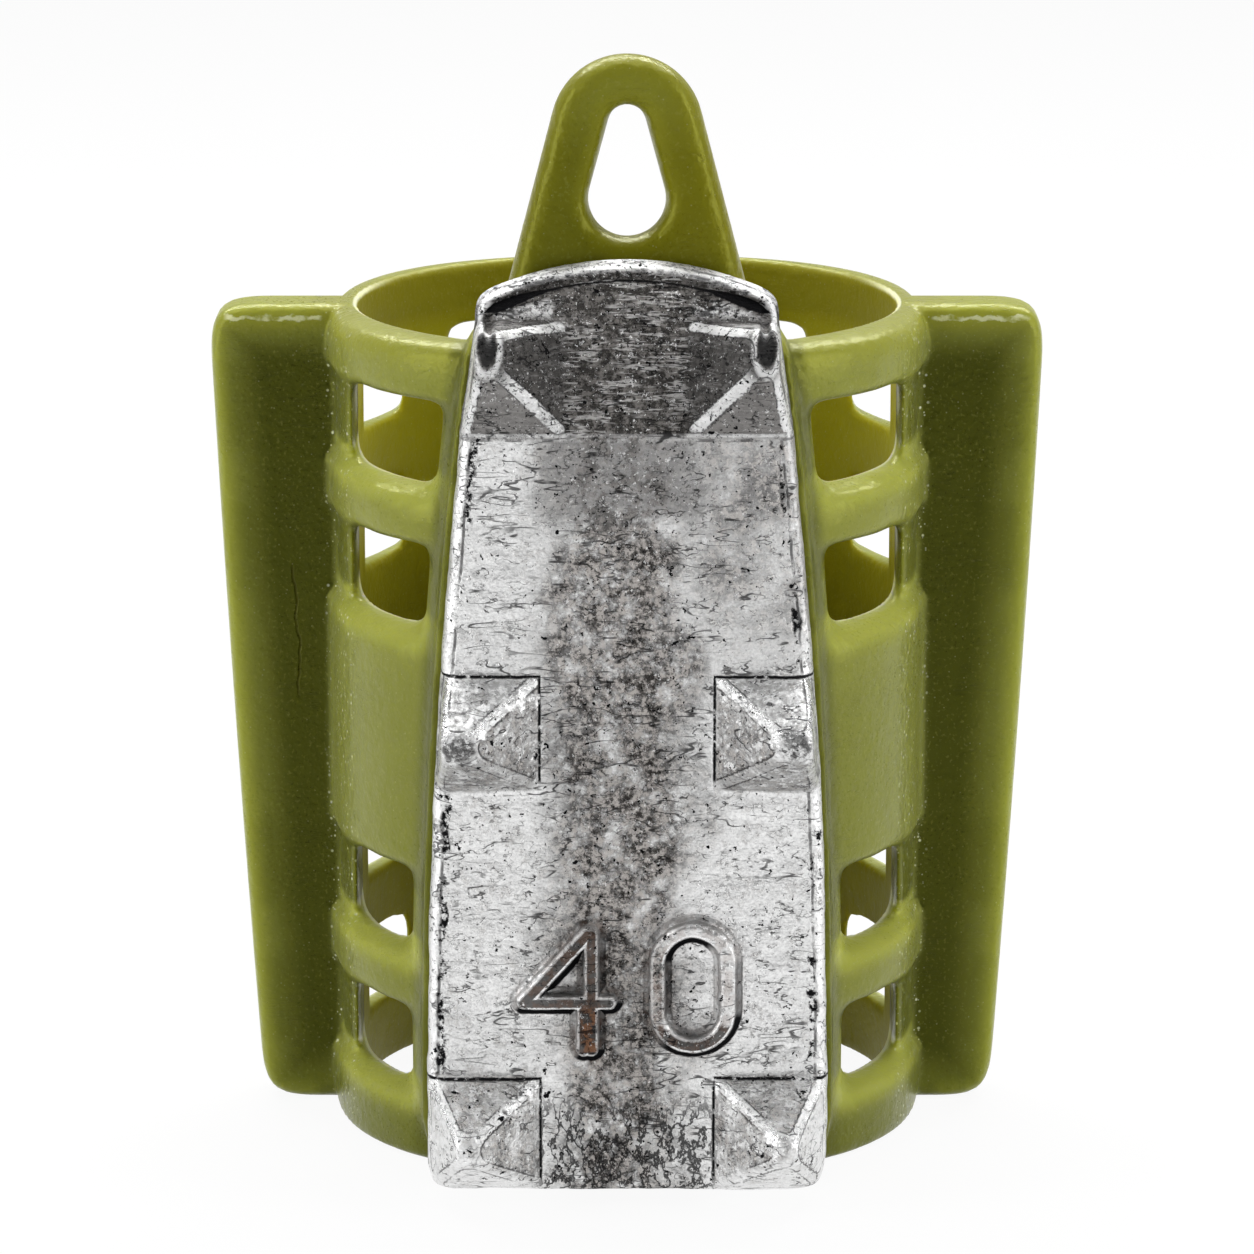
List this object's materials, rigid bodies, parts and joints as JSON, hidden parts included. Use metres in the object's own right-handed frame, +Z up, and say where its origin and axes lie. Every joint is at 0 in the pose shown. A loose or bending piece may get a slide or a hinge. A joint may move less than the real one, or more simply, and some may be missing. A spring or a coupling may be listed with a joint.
{
  "type": "fishing feeder",
  "caption": "Open cage fishing feeder in olive plastic with side wings and a line eye, and a spiked cast lead sole riveted to its front.",
  "frame": {"origin": "under the middle of the whole part's width and depth, at the bottom rim", "axes": "+Z up through the open tube to the line eye, -Y out of the spiked face of the sole, +X to the right-hand wing seen from the front"},
  "size_m": [0.0462, 0.041, 0.0611],
  "materials": {
    "plastic": "satin",
    "lead": "satin",
    "rivets": "satin"
  },
  "bodies": {
    "root": {"cage_body": "plastic", "lead_weight": "lead", "rivet_lower": "rivets", "rivet_middle": "rivets", "rivet_upper": "rivets"}
  },
  "joints": []
}
